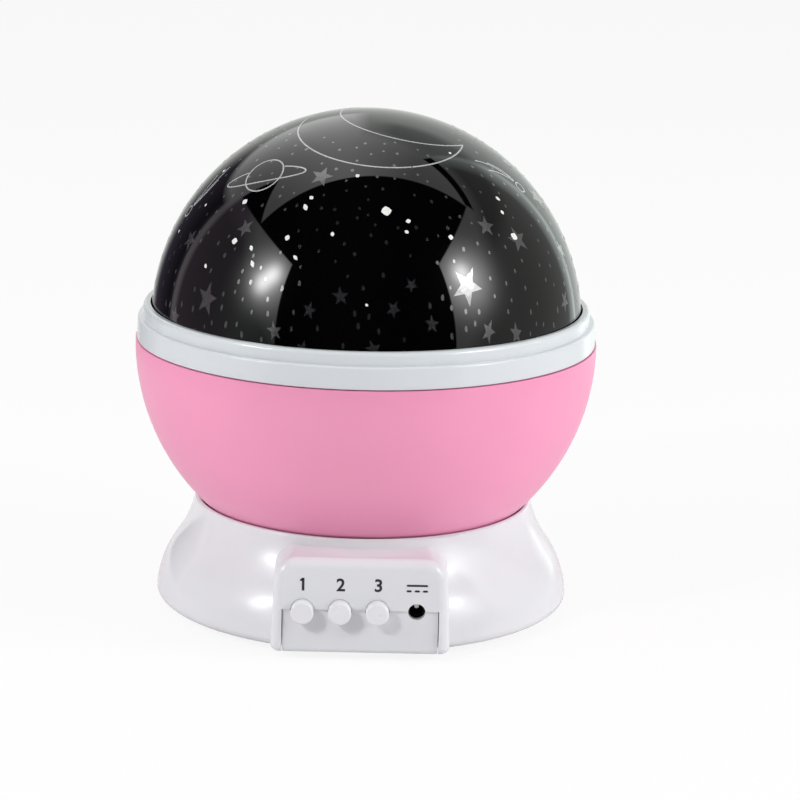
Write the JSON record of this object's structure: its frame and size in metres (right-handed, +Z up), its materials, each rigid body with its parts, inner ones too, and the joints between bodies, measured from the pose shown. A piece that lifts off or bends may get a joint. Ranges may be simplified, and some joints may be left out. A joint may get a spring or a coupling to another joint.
{
  "type": "night light projector",
  "caption": "Round night light with a star-patterned dome and bowl that turn on a bell-shaped base with push buttons and a power inlet.",
  "frame": {"origin": "on the floor under the middle of the object, at the bottom of the feet", "axes": "+Z up; the control panel with the buttons faces -Y; +X to the right of a viewer who faces the panel"},
  "size_m": [0.125, 0.125, 0.136],
  "materials": {
    "white_shell": "gloss moulded",
    "pink_bowl": "gloss moulded",
    "dark_dome": "polished, smoke dark, with a pale printed star pattern",
    "foot_rubber": "matt",
    "button_white": "gloss moulded",
    "switch_black": "matt moulded",
    "jack_black": "matt moulded",
    "contact_metal": "nickel plated",
    "board_green": "solder mask",
    "cell_sleeve": "plain printed sleeve",
    "screw_steel": "zinc plated",
    "shaft_steel": "ground",
    "motor_can": "drawn can",
    "gear_nylon": "natural nylon or acetal",
    "inner_white": "matt moulded",
    "led_lens_warm": "clear tinted lens",
    "led_lens_red": "clear tinted lens",
    "led_lens_green": "clear tinted lens",
    "led_lens_blue": "clear tinted lens"
  },
  "bodies": {
    "base": {"base_plate": "white_shell", "base_screws": "screw_steel", "base_shell": "white_shell", "battery_cell_1": "cell_sleeve", "battery_cell_2": "cell_sleeve", "battery_cell_3": "cell_sleeve", "battery_cell_4": "cell_sleeve", "battery_contacts_left": "contact_metal", "battery_contacts_right": "contact_metal", "board_screws": "screw_steel", "control_board": "board_green", "dc_jack": "jack_black", "gear_motor": "motor_can", "jack_pin": "contact_metal", "lamp_post": "inner_white", "led_blue": "led_lens_blue", "led_board": "board_green", "led_green": "led_lens_green", "led_holder": "inner_white", "led_red": "led_lens_red", "led_screws": "screw_steel", "led_warm": "led_lens_warm", "motor_screws": "screw_steel", "post_screws": "screw_steel", "retaining_ring": "screw_steel", "rubber_feet": "foot_rubber", "switch_body_1": "switch_black", "switch_body_2": "switch_black", "switch_body_3": "switch_black", "thrust_washer": "gear_nylon"},
    "turntable": {"bowl": "pink_bowl", "turntable_gear": "gear_nylon", "gear_screws": "screw_steel", "rim_ring": "white_shell", "light_plate": "inner_white", "plate_screws": "screw_steel"},
    "dome": {"dome_shell": "dark_dome", "dome_ring": "white_shell"},
    "pinion": {"drive_pinion": "gear_nylon", "motor_shaft": "shaft_steel"},
    "button_1": {"button_cap_1": "button_white", "switch_plunger_1": "switch_black"},
    "button_2": {"button_cap_2": "button_white", "switch_plunger_2": "switch_black"},
    "button_3": {"button_cap_3": "button_white", "switch_plunger_3": "switch_black"},
    "door": {"battery_door": "white_shell"}
  },
  "joints": [
    {"name": "turntable_spin", "type": "hinge", "parent": "base", "child": "turntable", "pos_m": [0, 0, 0.026], "axis": [0, 0, 1], "continuous": true},
    {"name": "pinion_spin", "type": "hinge", "parent": "base", "child": "pinion", "pos_m": [0, -0.0261, 0.023], "axis": [0, 0, 1], "continuous": true},
    {"name": "dome_lift", "type": "slide", "parent": "turntable", "child": "dome", "axis": [0, 0, 1], "range_m": [0, 0.06]},
    {"name": "button_1_press", "type": "slide", "parent": "base", "child": "button_1", "axis": [0, 1, 0], "range_m": [0, 0.0015], "stiffness_N_per_m": 250, "springref_m": -0.001},
    {"name": "button_2_press", "type": "slide", "parent": "base", "child": "button_2", "axis": [0, 1, 0], "range_m": [0, 0.0015], "stiffness_N_per_m": 250, "springref_m": -0.001},
    {"name": "button_3_press", "type": "slide", "parent": "base", "child": "button_3", "axis": [0, 1, 0], "range_m": [0, 0.0015], "stiffness_N_per_m": 250, "springref_m": -0.001},
    {"name": "door_hinge", "type": "hinge", "parent": "base", "child": "door", "pos_m": [0, 0.0337, 0.00315], "axis": [1, 0, 0], "range_deg": [0, 75]}
  ],
  "couplings": [
    {"joint": "pinion_spin", "follows": "turntable_spin", "ratio": -2.25}
  ]
}
